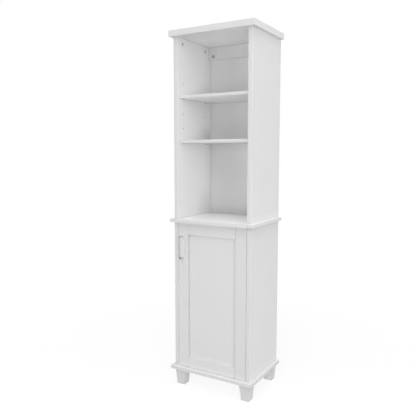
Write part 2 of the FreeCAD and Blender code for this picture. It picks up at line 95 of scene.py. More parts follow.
def above(tree, value, line):
    return math_node(tree, "GREATER_THAN", value, line)


def under(tree, value, line):
    return math_node(tree, "LESS_THAN", value, line)


def between(tree, value, low, high):
    """1 where a value lies inside a range."""
    return times(tree, above(tree, value, low), under(tree, value, high))


def ramp(tree, value, low, high, to_low=0.0, to_high=1.0):
    """Spread a value from one range onto another, with soft ends."""
    inputs = {"Value": value, "From Min": low, "From Max": high, "To Min": to_low, "To Max": to_high}
    return add(tree, "MapRange", inputs, interpolation_type="SMOOTHSTEP").outputs["Result"]


def from_line(tree, value, line, ends):
    """Mask that comes in between two distances from a line, both in millimetres."""
    start, end = ends
    return ramp(tree, value, line + start * MM, line + end * MM)


def near_line(tree, height, line, reach):
    """Mask that fades from a level line to a reach above it, or below it where the reach is negative."""
    slack = 0.1
    away = math_node(tree, "DIVIDE", math_node(tree, "SUBTRACT", height, line), reach)
    return times(tree, ramp(tree, away, 1.0, 0.0), above(tree, away, -slack))


def grey(level):
    return (level, level, level, 1)


def blend_value(tree, factor, first, second):
    return add(tree, "Mix", {0: factor, 2: first, 3: second}, data_type="FLOAT").outputs[0]


def blend_colour(tree, factor, first, second, blend_type="MIX"):
    inputs = {0: factor, 6: first, 7: second}
    return add(tree, "Mix", inputs, data_type="RGBA", blend_type=blend_type).outputs[2]


def fade(tree, mask, first, second):
    """Grey that goes from a first level to a second one as a mask grows."""
    return blend_colour(tree, mask, grey(first), grey(second))


def tint(tree, mask, tone, level):
    """Lay a grey of a given level over a tone where a mask is 1."""
    return blend_colour(tree, mask, tone, grey(level))


def darken(tree, mask, tone, share):
    """Bring a tone down to a share of itself where a mask is 1."""
    return blend_colour(tree, mask, tone, grey(share), "MULTIPLY")


def scaled(tree, colour, level):
    return add(tree, "VectorMath", {0: colour, "Scale": level}, operation="SCALE").outputs["Vector"]


def own_place(tree):
    """Place of a point in the object's own axes."""
    return add(tree, "TexCoord").outputs["Object"]


def noise(tree, place, scale, detail=2.0, roughness=0.5, distortion=0.0):
    inputs = {"Vector": place, "Scale": scale, "Detail": detail, "Roughness": roughness,
              "Distortion": distortion}
    return add(tree, "TexNoise", inputs).outputs["Fac"]


def stretched(tree, place, scale):
    return add(tree, "Mapping", {"Vector": place, "Scale": scale}).outputs["Vector"]


def bump(tree, height, strength, distance):
    inputs = {"Strength": strength, "Distance": distance, "Height": height}
    return add(tree, "Bump", inputs).outputs["Normal"]


def effect(name, inputs, outputs):
    """Start a shader node group with named sockets; returns its tree, inputs and output node."""
    tree = bpy.data.node_groups.new(name, "ShaderNodeTree")
    for label, value in inputs.items():
        kind = {3: "Vector", 4: "Color"}[len(value)] if isinstance(value, tuple) else "Float"
        socket = tree.interface.new_socket(label, in_out="INPUT", socket_type="NodeSocket" + kind)
        socket.default_value = value
    for label, kind in outputs.items():
        tree.interface.new_socket(label, in_out="OUTPUT", socket_type="NodeSocket" + kind)
    given = tree.nodes.new("NodeGroupInput").outputs
    result = tree.nodes.new("NodeGroupOutput").inputs
    return tree, given, result


def use(tree, group, **values):
    """Place an effect in a material with its own values."""
    node = tree.nodes.new("ShaderNodeGroup")
    node.node_tree = group
    for name, value in values.items():
        feed(tree, node.inputs[name.replace("_", " ")], value)
    return node.outputs


# Effects that several finishes share
# Dust and painted shade in corners take the first colour, polished metal edges the second
DUST_AND_SHADE_COLOUR = (0.295, 0.29, 0.285, 1)
WORN_METAL = (0.9, 0.9, 0.88, 1)
SURFACE = {"Colour": "Color", "Roughness": "Float", "Normal": "Vector"}


def make_bare_edges():
    """Mask that is 1 along edges, broken up as rubbing breaks it."""
    tree, given, result = effect("bare edges", {"Radius": 0.8 * MM, "Breakup": 0.5}, {"Edge": "Float"})
    rounded = add(tree, "Bevel", {"Radius": given["Radius"]}, samples=8).outputs["Normal"]
    flat = add(tree, "NewGeometry").outputs["Normal"]
    along = add(tree, "VectorMath", {0: rounded, 1: flat}, operation="DOT_PRODUCT").outputs["Value"]
    bare = ramp(tree, along, 0.995, 0.8)
    place = own_place(tree)
    patches = ramp(tree, noise(tree, place, 60.0, detail=4.0, roughness=0.65), 0.35, 0.7)
    kept = rest_of(tree, times(tree, given["Breakup"], patches))
    feed(tree, result["Edge"], times(tree, bare, kept))
    return tree


def make_corner_dust_and_shade():
    """Dust settled in inside corners and painted shade there: a mask that grows towards them from ambient
    occlusion, broken up in patches.
    """
    tree, given, result = effect("corner dust and shade", {"Reach": 7 * MM, "Amount": 0.5}, {"Dust": "Float"})
    open_sky = add(tree, "AmbientOcclusion", {"Distance": given["Reach"]}, samples=12).outputs["AO"]
    shut = math_node(tree, "SUBTRACT", 1.0, open_sky, clamp=True)
    place = own_place(tree)
    patches = ramp(tree, noise(tree, place, 140.0, detail=3.0), 0.3, 0.75, 0.5, 1.0)
    gathered_and_shaded = math_node(tree, "POWER", shut, 1.6)
    feed(tree, result["Dust"], times(tree, gathered_and_shaded, patches, given["Amount"]))
    return tree


def make_spray_film(bare_edges, corner_dust_and_shade):
    """Sprayed paint on smooth board: fine orange peel, faint clouding, thin arrises. Dust and painted shade
    darken its corners.
    """
    tree, given, result = effect(
        "spray film",
        {
            "Colour": (0.8, 0.8, 0.8, 1),
            "Arris": (0.7, 0.69, 0.67, 1),
            "Clouding": 0.02,
            "Gloss low": 0.34,
            "Gloss high": 0.46,
            "Peel": 0.03,
            "Peel scale": 520.0,
            "Wear": 0.3,
            # Dust and painted shade in corners: how strong, and how far out from them they reach
            "Dust": 0.1,
            "Dust reach": 7 * MM,
        },
        SURFACE,
    )
    place = own_place(tree)
    clouds = math_node(tree, "SUBTRACT", noise(tree, place, 7.0, detail=5.0, roughness=0.55), 0.5)
    shade = math_node(tree, "MULTIPLY_ADD", clouds, given["Clouding"], 1.0)
    clouded = scaled(tree, given["Colour"], shade)
    worn = times(tree, use(tree, bare_edges)["Edge"], given["Wear"])
    thinned = blend_colour(tree, worn, clouded, given["Arris"])
    dust_and_shade = use(tree, corner_dust_and_shade, Amount=given["Dust"], Reach=given["Dust reach"])["Dust"]
    dusty_and_shaded = blend_colour(tree, dust_and_shade, thinned, DUST_AND_SHADE_COLOUR)
    wiped = noise(tree, stretched(tree, place, (14.0, 14.0, 3.0)), 1.0, detail=6.0, roughness=0.6)
    gloss = {"Value": wiped, "From Min": 0.3, "From Max": 0.7,
             "To Min": given["Gloss low"], "To Max": given["Gloss high"]}
    sheen = add(tree, "MapRange", gloss).outputs["Result"]
    dull = math_node(tree, "ADD", sheen, times(tree, dust_and_shade, 0.8), clamp=True)
    fine = noise(tree, place, given["Peel scale"], detail=1.5, roughness=0.45)
    broad = noise(tree, place, 38.0, roughness=0.4)
    height = math_node(tree, "ADD", fine, times(tree, broad, 3.0))
    feed(tree, result["Colour"], dusty_and_shaded)
    feed(tree, result["Roughness"], dull)
    feed(tree, result["Normal"], bump(tree, height, given["Peel"], 0.4 * MM))
    return tree


def make_worked_metal(bare_edges):
    """Metal with drawn or cast marks, cloudy dullness and bright edges."""
    tree, given, result = effect(
        "worked metal",
        {
            "Colour": (0.6, 0.6, 0.6, 1),
            "Tarnish": (0.4, 0.4, 0.4, 1),
            "Tarnished": 0.3,
            "Marks": (300.0, 300.0, 300.0),
            "Mark depth": 0.1,
            "Dull low": 0.25,
            "Dull high": 0.4,
            "Edge shine": 0.3,
        },
        SURFACE,
    )
    place = own_place(tree)
    drawn = add(tree, "VectorMath", {0: place, 1: given["Marks"]}, operation="MULTIPLY").outputs["Vector"]
    marks = noise(tree, drawn, 1.0, detail=4.0, roughness=0.6)
    clouds = ramp(tree, noise(tree, place, 120.0, detail=5.0, roughness=0.6), 0.35, 0.75)
    stained = blend_colour(tree, times(tree, clouds, given["Tarnished"]), given["Colour"], given["Tarnish"])
    edges = use(tree, bare_edges, Radius=0.35 * MM)
    polished = blend_colour(tree, times(tree, edges["Edge"], given["Edge shine"]), stained, WORN_METAL)
    mixed = math_node(tree, "MULTIPLY_ADD", clouds, 0.5, times(tree, marks, 0.5), clamp=True)
    dulling = {"Value": mixed, "To Min": given["Dull low"], "To Max": given["Dull high"]}
    feed(tree, result["Colour"], polished)
    feed(tree, result["Roughness"], add(tree, "MapRange", dulling).outputs["Result"])
    feed(tree, result["Normal"], bump(tree, marks, given["Mark depth"], 0.2 * MM))
    return tree


BARE_EDGES = make_bare_edges()
CORNER_DUST_AND_SHADE = make_corner_dust_and_shade()
SPRAY_FILM = make_spray_film(BARE_EDGES, CORNER_DUST_AND_SHADE)
WORKED_METAL = make_worked_metal(BARE_EDGES)


# Finishes

def finish(name, **constants):
    """New material with a Principled shader; returns the material, its tree and the shader's inputs."""
    material = bpy.data.materials.new(name)
    material.use_nodes = True
    tree = material.node_tree
    shader = tree.nodes["Principled BSDF"]
    for label, value in constants.items():
        shader.inputs[label.replace("_", " ")].default_value = value
    return material, tree, shader.inputs


def dress(tree, inputs, outputs):
    """Feed the shader from an effect's colour, roughness and normal."""
    feed(tree, inputs["Base Color"], outputs["Colour"])
    feed(tree, inputs["Roughness"], outputs["Roughness"])
    feed(tree, inputs["Normal"], outputs["Normal"])


class SurfacePoint:
    """Where a point of a surface lies in the frame, and the parts of the normal there."""

    def __init__(self, tree):
        self.place = own_place(tree)
        self.across, self.deep, self.up = add(tree, "SeparateXYZ", {"Vector": self.place}).outputs
        normal = add(tree, "NewGeometry").outputs["True Normal"]
        self.rightward, self.backward, self.upward = add(tree, "SeparateXYZ", {"Vector": normal}).outputs
        self.off_middle = math_node(tree, "ABSOLUTE", self.across)
        self.sideways = math_node(tree, "ABSOLUTE", self.rightward)


# Upward part of the normal where a face counts as steep, and where it counts as flat
STEEP = (0.5, 0.2)
FLAT = (0.8, 0.9)


def faces(tree, normal_part, way=1):
    """1 on faces that look along an axis, or against it where the way is -1."""
    nearly, square = 0.9, 0.97
    return ramp(tree, normal_part, way * nearly, way * square)


CAP_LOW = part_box("top_cap")[0].z
COUNTER_LOW, COUNTER_TOP = (corner.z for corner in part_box("counter_board"))
BASE_LOW, BASE_TOP = (corner.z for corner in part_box("base_board"))

# Tones of the white boards by place, from 0 for black to 1 for white: painted light and shade over the
# white paint
BOARD_TONES = {
    "wall corner": 0.77,
    "counter back": 0.77,
    "lower right side": 0.86,
    "below cap": 0.93,
    "front edge": 0.65,
    "overhang left": 0.60,
    "low edge": 0.78,
    "counter edge": 0.85,
    "doorstep": 0.83,
    "jamb": 0.95,
}
# Painted light and shade as tones that run into each other: outside to inside, left to right, front to
# back, upper to lower
BOARD_FADES = {
    "board": (0.89, 0.945),
    "counter": (0.885, 0.96),
    "ceiling": (0.70, 0.79),
    "rail": (0.75, 0.88),
    "overhang": (0.62, 0.74),
    "rim": (0.88, 0.85),
}
# Painted shade: share of their tone that the strips below the counter keep, and that the tops of the feet
# keep
EAVES_SHARE = 0.82
FOOT_SHARE = 0.91
# How strongly the left and the right feet are shaded
FEET_SHADED = (0.4, 1.0)
# Raw core in the drilled holes
CORE_COLOURS = ((0.20, 0.19, 0.17, 1), (0.36, 0.34, 0.31, 1))

# Depths and widths over which those tones come in, in metres from the cabinet's middle
BOARD_DEPTHS = {
    "front edge": (-0.04, -0.06),
    "rail": (0.12, 0.13),
    "ceiling": (0.02, -0.13),
    "inside": (-0.06, 0.12),
    "wall corner": (0.0, 0.11),
    "counter back": (0.08, 0.15),
    "below cap": (-0.12, -0.02),
    "overhang": (-0.13, -0.04),
    "doorstep": (-0.126, -0.128),
}
BOARD_WIDTHS = {"counter": (-0.05, 0.06), "ceiling": (-0.08, 0.05), "feet": (-0.05, 0.05)}
RIGHT_EDGE = 0.17
# Margins that tell one side of a board from the next
BOARD_SKIN = 0.3 * MM
BOARD_MARGIN = 1 * MM

# Painted light on strips on the outer sides above the counter and the base: where each starts, and its tone
SKIRTS = ((COUNTER_TOP, 0.94), (BASE_TOP, 0.91))
# Heights over which the painted shade in the inner corners, and the painted light and shade on the strips
# next to the overhangs, fade out
WALL_CORNERS = {"upper_shelf": 100 * MM, "middle_shelf": 90 * MM, "counter_board": 190 * MM}
SKIRT_REACH = 36 * MM
CAP_REACH = 80 * MM
EAVES_REACH = 19 * MM
FOOT_REACH = 60 * MM

# Dust and painted shade in the corners of the boards, and painted shade under the overhangs: how strong it
# is on open faces and on rims, and how far out it reaches
OPEN_DUST_AND_SHADE = 0.8
RIM_DUST_AND_SHADE = 0.2
DUST_AND_SHADE_REACH = 7 * MM
OVERHANG_SHADE_REACH = 13 * MM


def by_depth(tree, at, place):
    """Mask that comes in over the depths of a place on the boards."""
    return ramp(tree, at.deep, *BOARD_DEPTHS[place])


def strip(tree, at, mask, line, reach):
    """A mask kept only next to a level line."""
    return times(tree, mask, near_line(tree, at.up, line, reach))


class BoardPoint(SurfacePoint):
    """A point of the white boards, with masks that tell their sides and edges apart."""

    def __init__(self, tree):
        super().__init__(tree)
        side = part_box("upper_right_side")[1].x
        self.outside = above(tree, self.off_middle, side - BOARD_SKIN)
        self.inner = rest_of(tree, self.outside)
        self.upright = faces(tree, self.sideways)
        self.ahead = faces(tree, self.backward, -1)
        self.down = faces(tree, self.upward, -1)
        self.level = faces(tree, self.upward)
        self.steep = ramp(tree, self.upward, *STEEP)
        self.rim = times(tree, self.outside, ramp(tree, self.upward, *FLAT))
        self.flank = times(tree, self.outside, self.upright)
        self.skirts = [strip(tree, self, self.flank, line, SKIRT_REACH) for line, _ in SKIRTS]
        self.front_edge = times(tree, self.ahead, by_depth(tree, self, "front edge"))
        self.below_cap = under(tree, self.up, CAP_LOW)
        self.below_counter = under(tree, self.up, COUNTER_LOW)
        self.foot = under(tree, self.up, BASE_LOW)
        overhang = times(tree, above(tree, self.off_middle, side + BOARD_MARGIN), self.below_cap)
        self.low_edge = times(tree, self.upright, either(tree, overhang, self.foot))
        self.right_half = ramp(tree, self.across, *BOARD_WIDTHS["ceiling"])
        doorway = between(tree, self.up, BASE_TOP - BOARD_MARGIN, COUNTER_LOW - BOARD_MARGIN)
        before_panel = under(tree, self.deep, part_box("door_panel")[1].y)
        self.door_gap = times(tree, before_panel, doorway, self.inner)


def inside_boards(tree, at):
    """1 on what lies within the thickness of the side panels, as the walls of their holes do."""
    skin = 0.4 * MM
    mask = 0.0
    for panel in ("upper_right_side", "lower_right_side"):
        low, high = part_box(panel)
        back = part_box(panel.replace("right_side", "back_panel"))[0].y
        held = times(tree,
                     between(tree, at.off_middle, low.x + skin, high.x - skin),
                     between(tree, at.deep, low.y + 2 * skin, back - skin),
                     between(tree, at.up, low.z + skin, high.z - skin))
        mask = either(tree, held, mask)
    return mask


def bay_tone(tree, at):
    """Painted light and shade inside the bays: walls lighter towards the back with shaded corners, the
    counter darker at its back and lighter to the right, the ceiling darker and lighter to the right.
    """
    # Painted light: the inner walls grow lighter towards the back
    fresh = times(tree, by_depth(tree, at, "inside"), at.steep, at.inner)
    tone = fade(tree, fresh, *BOARD_FADES["board"])
    wall = times(tree, at.upright, at.inner, by_depth(tree, at, "wall corner"))
    for name, reach in WALL_CORNERS.items():
        corner = strip(tree, at, wall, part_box(name)[1].z, reach)
        tone = tint(tree, corner, tone, BOARD_TONES["wall corner"])
    counter = between(tree, at.up, COUNTER_TOP - BOARD_MARGIN, COUNTER_TOP + BOARD_MARGIN)
    counter = times(tree, at.level, counter, at.inner)
    lit = ramp(tree, at.across, *BOARD_WIDTHS["counter"])
    counter_tone = tint(tree, by_depth(tree, at, "counter back"), fade(tree, lit, *BOARD_FADES["counter"]),
                        BOARD_TONES["counter back"])
    tone = blend_colour(tree, counter, tone, counter_tone)
    high_up = above(tree, at.up, CAP_LOW - BOARD_MARGIN)
    ceiling = times(tree, at.down, high_up, by_depth(tree, at, "ceiling"))
    return blend_colour(tree, ceiling, tone, fade(tree, at.right_half, *BOARD_FADES["ceiling"]))


def flank_tone(tree, at, tone):
    """Painted light and shade on the outer sides, laid over the tone of the bays."""
    low_side = times(tree, faces(tree, at.rightward), at.below_counter)
    tone = tint(tree, low_side, tone, BOARD_TONES["lower right side"])
    for skirt, (_, level) in zip(at.skirts, SKIRTS):
        tone = tint(tree, skirt, tone, level)
    painted_light_below_cap = times(tree, strip(tree, at, at.flank, CAP_LOW, -CAP_REACH), by_depth(tree, at, "below cap"))
    return tint(tree, painted_light_below_cap, tone, BOARD_TONES["below cap"])


def edge_tone(tree, at, tone):
    """Painted shade and light on the front edges, overhangs, feet, rail and doorway, laid over the tone of
    the sides.
    """
    tone = tint(tree, at.front_edge, tone, BOARD_TONES["front edge"])
    below = times(tree, at.outside, at.down)
    receding = by_depth(tree, at, "overhang")
    tone = blend_colour(tree, below, tone, fade(tree, receding, *BOARD_FADES["overhang"]))
    right_edge = times(tree, at.front_edge, above(tree, at.across, RIGHT_EDGE))
    # Painted shadow below the counter, on the outer sides and the right front edge
    eaves_shadow = strip(tree, at, either(tree, at.flank, right_edge), COUNTER_LOW, -EAVES_REACH)
    tone = darken(tree, eaves_shadow, tone, EAVES_SHARE)
    below_left = times(tree, below, under(tree, at.across, 0.0))
    tone = tint(tree, below_left, tone, BOARD_TONES["overhang left"])
    tone = tint(tree, at.low_edge, tone, BOARD_TONES["low edge"])
    counter_edge = times(tree, at.low_edge, above(tree, at.up, COUNTER_LOW))
    tone = tint(tree, counter_edge, tone, BOARD_TONES["counter edge"])
    foot_top = times(tree, strip(tree, at, at.foot, BASE_LOW, -FOOT_REACH),
                     ramp(tree, at.across, *BOARD_WIDTHS["feet"], *FEET_SHADED))
    tone = darken(tree, foot_top, tone, FOOT_SHARE)
    rail = times(tree, at.ahead, by_depth(tree, at, "rail"))
    tone = blend_colour(tree, rail, tone, fade(tree, at.right_half, *BOARD_FADES["rail"]))
    rim = times(tree, at.rim, at.below_cap)
    tone = blend_colour(tree, rim, tone, fade(tree, at.below_counter, *BOARD_FADES["rim"]))
    doorstep = times(tree, at.level, by_depth(tree, at, "doorstep"), at.below_counter)
    tone = tint(tree, doorstep, tone, BOARD_TONES["doorstep"])
    return tint(tree, times(tree, at.door_gap, at.upright), tone, BOARD_TONES["jamb"])


def make_white_lacquer():
    """Sprayed board with painted light and shade: each side has the tone of its place, drilled holes show
    the raw core.
    """
    material, tree, inputs = finish("white_lacquer", IOR=1.47)
    at = BoardPoint(tree)
    tone = edge_tone(tree, at, flank_tone(tree, at, bay_tone(tree, at)))
    dust_and_shade = blend_value(tree, at.rim, OPEN_DUST_AND_SHADE, RIM_DUST_AND_SHADE)
    # Dust and painted shade stay off the door gap, the strips above the counter and the base, and the front
    # edges
    for free_of_dust_and_shade in (at.door_gap, *at.skirts, at.front_edge):
        dust_and_shade = times(tree, dust_and_shade, rest_of(tree, free_of_dust_and_shade))
    # Painted shade reaches farther on the outer faces that don't look up, below the overhangs
    shaded_outer_faces = times(tree, at.outside, at.steep)
    reach = blend_value(tree, shaded_outer_faces, DUST_AND_SHADE_REACH, OVERHANG_SHADE_REACH)
    film = use(tree, SPRAY_FILM, Colour=tone, Clouding=0.025, Wear=0.06, Dust=dust_and_shade, Dust_reach=reach)
    dress(tree, inputs, film)
    chips = noise(tree, at.place, 700.0, detail=4.0, roughness=0.7)
    core = blend_colour(tree, chips, *CORE_COLOURS)
    feed(tree, inputs["Base Color"], blend_colour(tree, inside_boards(tree, at), film["Colour"], core))
    return material


# Tones of the door by place, and tones that run into each other towards its top: painted light and shade,
# besides the dark joints. The whole face is greyer than the boards as painted shade on the front.
DOOR_TONES = {
    "foot": 0.735,
    "sill": 0.75,
    "rim": 0.80,
    "lintel": 0.66,
    "panel end": 0.80,
    "stile edge": 0.64,
    "behind pull": 0.74,
    "joint": 0.15,
    "ledge": 0.71,
}
FACE_TONES = (0.67, 0.61)
HINGE_STILE_TONES = (0.645, 0.60)
# Dust and painted shade in the door's corners
DOOR_DUST_AND_SHADE = 0.15

# Where those tones come in: two distances from an edge of the door's pieces, in millimetres
DOOR_FADES = {
    "face top": (-55, -20),
    "foot": (26, 0),
    "sill": (14, 2),
    "lintel": (-14, -4),
    "panel right": (-8, -3),
    "panel top": (-9, -3),
    "pull left": (-16, -12),
    "pull right": (4, -1),
    "pull foot": (3, 10),
    "pull top": (-3, -10),
}
DOOR_SKIN = 0.3 * MM
JOINT_WIDTH = 1 * MM
PANEL_SUNK = 2 * MM


def light_behind_pull(tree, at):
    """Soft patch on the stile behind the pull: painted light that lifts the pull's shadow."""
    low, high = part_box("door_handle")
    return times(tree,
                 from_line(tree, at.across, low.x, DOOR_FADES["pull left"]),
                 from_line(tree, at.across, high.x, DOOR_FADES["pull right"]),
                 from_line(tree, at.up, low.z, DOOR_FADES["pull foot"]),
                 from_line(tree, at.up, high.z, DOOR_FADES["pull top"]))


def make_door_lacquer():
    """Sprayed door with painted light and shade: each face has the tone of its place, with dark joints.
    Dust and painted shade darken its corners a little.
    """
    material, tree, inputs = finish("door_lacquer", IOR=1.47)
    at = SurfacePoint(tree)
    tones = DOOR_TONES
    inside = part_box("door_right_stile")[0].x
    bottom, ledge = (corner.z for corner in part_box("door_bottom_rail"))
    top_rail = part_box("door_top_rail")[0]
    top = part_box("door_top_rail")[1].z

    # Frame: painted shade, greyer towards its top below the counter and on the hinge stile; painted light
    # where the base and the sill throw light back, on its outer edges and just below its top
    shaded = from_line(tree, at.up, top, DOOR_FADES["face top"])
    hinge_stile = above(tree, at.across, inside + DOOR_SKIN)
    tone = blend_colour(tree, hinge_stile, fade(tree, shaded, *FACE_TONES),
                        fade(tree, shaded, *HINGE_STILE_TONES))
    foot = from_line(tree, at.up, bottom, DOOR_FADES["foot"])
    tone = tint(tree, foot, tone, tones["foot"])
    sill = times(tree, from_line(tree, at.up, ledge, DOOR_FADES["sill"]),
                 above(tree, at.up, ledge - DOOR_SKIN), under(tree, at.off_middle, inside))
    tone = tint(tree, sill, tone, tones["sill"])
    rim = either(tree, under(tree, at.across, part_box("door_left_stile")[0].x + DOOR_SKIN),
                 above(tree, at.across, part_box("door_right_stile")[1].x - DOOR_SKIN))
    tone = tint(tree, rim, tone, tones["rim"])
    tone = tint(tree, from_line(tree, at.up, top, DOOR_FADES["lintel"]), tone, tones["lintel"])

    # Panel and the edges round it: painted light at the panel's ends, behind the pull and on the ledge,
    # painted shade on the stile's inner edge, and the dark joints
    opening = between(tree, at.up, ledge, top_rail.z)
    panel_end = either(tree, from_line(tree, at.across, inside, DOOR_FADES["panel right"]),
                       from_line(tree, at.up, top_rail.z, DOOR_FADES["panel top"]))
    panel_end = times(tree, panel_end, opening, above(tree, at.deep, top_rail.y + PANEL_SUNK))
    tone = tint(tree, panel_end, tone, tones["panel end"])
    stile_edge = between(tree, at.off_middle, inside - DOOR_SKIN, inside + DOOR_SKIN)
    tone = tint(tree, stile_edge, tone, tones["stile edge"])
    tone = tint(tree, light_behind_pull(tree, at), tone, tones["behind pull"])
    joint = times(tree, between(tree, at.off_middle, inside - JOINT_WIDTH, inside + DOOR_SKIN),
                  above(tree, at.deep, top_rail.y + DOOR_SKIN), rest_of(tree, opening))
    tone = tint(tree, joint, tone, tones["joint"])
    level = times(tree, between(tree, at.up, ledge - DOOR_SKIN, ledge + DOOR_SKIN),
                  ramp(tree, at.upward, *FLAT))
    tone = tint(tree, level, tone, tones["ledge"])

    # No corner darkening where painted bounce light lies
    bounced = either(tree, either(tree, foot, sill), rim)
    dust_and_shade = times(tree, rest_of(tree, bounced), DOOR_DUST_AND_SHADE)
    film = use(tree, SPRAY_FILM, Colour=tone, Clouding=0.025, Gloss_low=0.30, Gloss_high=0.42,
               Peel=0.03, Peel_scale=640.0, Wear=0.06, Dust=dust_and_shade, Dust_reach=5 * MM)
    dress(tree, inputs, film)
    return material


# Backs: painted shade, darker low in the bay: tones low and high in the bay, with the heights between which
# they change, in metres
BACK_LOW_TONE = 0.635
BACK_HIGH_TONE = 0.80
BACK_HEIGHTS = (0.74, 1.16)
# Painted light across the bay: two places, in metres from the middle, and how light the back is at each
BACK_LIT = (-0.07, 0.035, 0.95, 1.155)
BACK_LEFT = (-0.15, -0.09, 1.06, 1.0)
# Painted shade next to the shelves: its line, how far it reaches and how deep it is
BACK_SHADES = (
    (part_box("upper_shelf")[1].z, 140 * MM, 0.85),
    (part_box("middle_shelf")[0].z, -60 * MM, 0.89),
    (COUNTER_TOP, 60 * MM, 0.89),
)
FIBRE_COLOURS = ((0.20, 0.115, 0.06, 1), (0.36, 0.235, 0.135, 1))
FLECK_COLOUR = (0.5, 0.37, 0.24, 1)
SCREEN_SCALE = 260.0
FIBRE_DULL = 0.85


def coated_face(tree, at):
    """Thin white coat with painted light and shade: greyer low down and next to the shelves, lighter
    towards the right.
    """
    tone = fade(tree, ramp(tree, at.up, *BACK_HEIGHTS), BACK_LOW_TONE, BACK_HIGH_TONE)
    tone = tint(tree, under(tree, at.up, COUNTER_LOW), tone, BACK_HIGH_TONE)
    level = times(tree, ramp(tree, at.across, *BACK_LIT), ramp(tree, at.across, *BACK_LEFT))
    for line, reach, shade in BACK_SHADES:
        level = times(tree, level, ramp(tree, near_line(tree, at.up, line, reach), 0.0, 1.0, 1.0, shade))
    return use(tree, SPRAY_FILM, Colour=scaled(tree, tone, level), Clouding=0.03, Gloss_low=0.45,
               Gloss_high=0.6, Peel=0.05, Peel_scale=380.0, Wear=0.0, Dust=0.8)


def bare_fibre(tree, place):
    """Colour and normal of the brown side, with fibres, flecks and the weave of the press screen."""
    fibres = noise(tree, stretched(tree, place, (90.0, 90.0, 420.0)), 3.0, 6.0, 0.7, 0.6)
    flecks = ramp(tree, noise(tree, place, 900.0, detail=3.0, roughness=0.7), 0.58, 0.7)
    board = blend_colour(tree, fibres, *FIBRE_COLOURS)
    flecked = blend_colour(tree, times(tree, flecks, 0.45), board, FLECK_COLOUR)
    clouds = ramp(tree, noise(tree, place, 5.0, detail=4.0, roughness=0.6), 0.3, 0.7, 0.88, 1.08)
    wave = {"Vector": place, "Scale": SCREEN_SCALE}
    weave = [add(tree, "TexWave", wave, bands_direction=way).outputs["Fac"] for way in ("X", "Z")]
    screen = math_node(tree, "ADD", times(tree, *weave), times(tree, fibres, 0.6))
    return scaled(tree, flecked, clouds), bump(tree, screen, 0.35, 0.3 * MM)


def make_white_backing():
    """Hardboard: a white coated face towards the front, bare screened fibre towards the wall."""
    material, tree, inputs = finish("white_backing", IOR=1.45)
    at = SurfacePoint(tree)
    bare = ramp(tree, at.backward, 0.4, 0.6)
    film = coated_face(tree, at)
    fibre, pressed = bare_fibre(tree, at.place)
    feed(tree, inputs["Base Color"], blend_colour(tree, bare, film["Colour"], fibre))
    feed(tree, inputs["Roughness"], blend_value(tree, bare, film["Roughness"], FIBRE_DULL))
    normal = add(tree, "Mix", {0: bare, 4: film["Normal"], 5: pressed}, data_type="VECTOR").outputs[1]
    feed(tree, inputs["Normal"], normal)
    return material


def make_metal(name, **values):
    material, tree, inputs = finish(name, Metallic=1.0)
    dress(tree, inputs, use(tree, WORKED_METAL, **values))
    return material


# Where the pull's painted light and painted reflections lie: heights from its ends and depths from its
# front, in millimetres
PULL_LEGS = (8, 13)
UPPER_BEND = ((-10, -5), (12, 7))
LOWER_BEND = ((9, 5), (11, 7))
LEG_PAINTED_LIGHT = (0.68, 0.72, 0.72, 1)
UPPER_BEND_PAINTED_REFLECTION = (0.25, 0.30, 0.30, 1)
LOWER_BEND_PAINTED_REFLECTION = (0.015, 0.02, 0.02, 1)


def make_satin_nickel():
    """Drawn bar with painted light along its legs and painted dark reflections in its two bends."""
    material = make_metal(
        "satin_nickel", Colour=(0.44, 0.48, 0.48, 1), Tarnish=(0.36, 0.40, 0.39, 1), Tarnished=0.35,
        Marks=(2600.0, 2600.0, 160.0), Mark_depth=0.06, Dull_low=0.3, Dull_high=0.45, Edge_shine=0.3)
    tree = material.node_tree
    base = tree.nodes["Principled BSDF"].inputs["Base Color"]
    low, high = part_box("door_handle")
    at = SurfacePoint(tree)
    legs = from_line(tree, at.deep, low.y, PULL_LEGS)
    bar = blend_colour(tree, legs, base.links[0].from_socket, LEG_PAINTED_LIGHT)
    bends = ((high.z, UPPER_BEND, UPPER_BEND_PAINTED_REFLECTION), (low.z, LOWER_BEND, LOWER_BEND_PAINTED_REFLECTION))
    for end, (heights, depths), colour in bends:
        bend = times(tree, from_line(tree, at.up, end, heights), from_line(tree, at.deep, low.y, depths))
        bar = blend_colour(tree, bend, bar, colour)
    feed(tree, base, bar)
    return material


BEECH_COLOURS = ((0.62, 0.42, 0.25, 1), (0.80, 0.62, 0.43, 1))
RAY_COLOUR = (0.45, 0.28, 0.16, 1)


def make_beech():
    """Turned dowel with fine grain along it and short dark rays."""
    material, tree, inputs = finish("beech_dowel", Roughness=0.7)
    place = own_place(tree)
    grain = noise(tree, stretched(tree, place, (900.0, 900.0, 40.0)), 1.0, 5.0, 0.6, 0.4)
    rays = ramp(tree, noise(tree, stretched(tree, place, (1500.0, 1500.0, 260.0)), 1.0), 0.6, 0.7)
    wood = blend_colour(tree, grain, *BEECH_COLOURS)
    rayed = blend_colour(tree, times(tree, rays, 0.5), wood, RAY_COLOUR)
    feed(tree, inputs["Base Color"], rayed)
    feed(tree, inputs["Normal"], bump(tree, grain, 0.2, 0.2 * MM))
    return material


def make_coated(name, ior, **values):
    material, tree, inputs = finish(name, IOR=ior)
    dress(tree, inputs, use(tree, SPRAY_FILM, **values))
    return material


